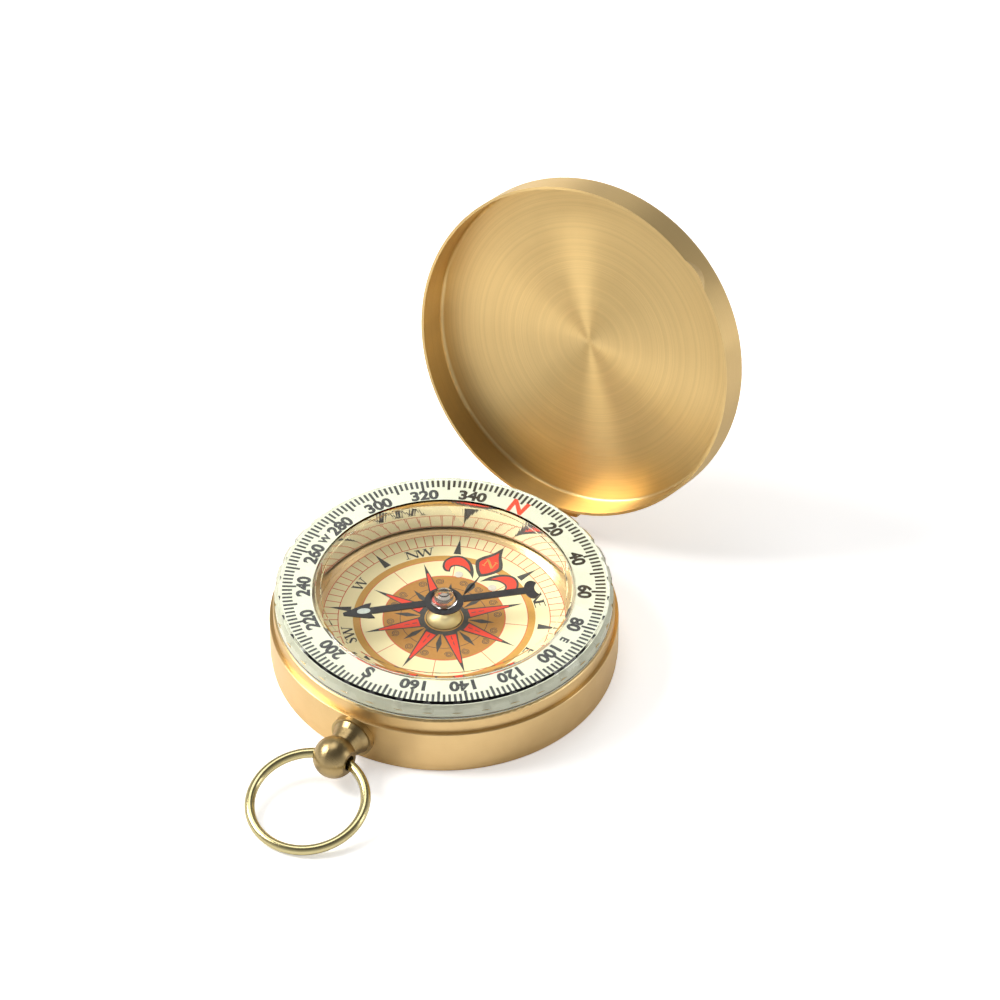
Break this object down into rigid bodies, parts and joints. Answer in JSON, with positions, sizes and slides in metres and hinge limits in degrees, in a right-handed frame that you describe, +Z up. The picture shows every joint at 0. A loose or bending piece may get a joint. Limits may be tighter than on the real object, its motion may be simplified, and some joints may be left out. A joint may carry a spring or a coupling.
{
  "type": "folding pocket compass",
  "caption": "Round brass pocket compass with a hinged lid, a toothed clear bezel over a degree ring, a needle on a pivot above a compass rose, and a bow on a ball pendant.",
  "frame": {"origin": "on the case axis at the flat underside of the back cover", "axes": "+Z up along the case axis, +Y towards the lid's hinge, -Y towards the pendant and bow"},
  "size_m": [0.05, 0.0963, 0.053],
  "materials": {
    "case_brass": "satin turned brass",
    "lid_brass": "circular brushed brass inside, satin outside",
    "hinge_brass": "plain brass",
    "pendant_brass": "turned, slightly darkened brass",
    "bow_brass": "bright drawn brass wire",
    "clear_plastic": "clear moulded plastic",
    "carrier_plastic": "black moulded plastic",
    "card_print": "printed cream card under liquid",
    "scale_plastic": "pale green luminous plastic with black print",
    "boss_gilt": "pale gilt",
    "pin_steel": "hardened steel",
    "needle_black": "black painted steel",
    "lume": "dried luminous paint",
    "jewel": "polished jewel"
  },
  "bodies": {
    "case": {"case_band": "case_brass", "back_cover": "case_brass", "capsule_carrier": "carrier_plastic", "capsule_cup": "clear_plastic", "capsule_window": "clear_plastic", "fill_plug": "carrier_plastic", "compass_card": "card_print", "card_pegs": "clear_plastic", "pivot_boss": "boss_gilt", "pivot_pin": "pin_steel", "case_leaf": "hinge_brass", "hinge_pin": "hinge_brass", "pendant_collar": "pendant_brass", "pendant_ball": "pendant_brass", "pendant_nut": "hinge_brass"},
    "lid": {"lid_shell": "lid_brass", "lid_leaf": "hinge_brass"},
    "bezel": {"bezel_ring": "clear_plastic", "scale_ring": "scale_plastic", "bezel_spring": "pin_steel"},
    "needle": {"compass_needle": "needle_black", "needle_lume": "lume", "needle_hub": "clear_plastic", "needle_jewel": "jewel"},
    "bow": {"bow_ring": "bow_brass"}
  },
  "joints": [
    {"name": "lid_hinge", "type": "hinge", "parent": "case", "child": "lid", "pos_m": [0, 0.0263, 0.00495], "axis": [1, 0, 0], "range_deg": [0, 107.8]},
    {"name": "bezel_turn", "type": "hinge", "parent": "case", "child": "bezel", "pos_m": [0, 0, 0.011], "axis": [0, 0, 1], "continuous": true},
    {"name": "needle_swing", "type": "hinge", "parent": "case", "child": "needle", "pos_m": [0, 0, 0.0075], "axis": [0, 0, 1], "continuous": true},
    {"name": "bow_swing", "type": "hinge", "parent": "case", "child": "bow", "pos_m": [0, -0.0304, 0.00445], "axis": [-1, 0, 0], "range_deg": [-126, 134]}
  ]
}
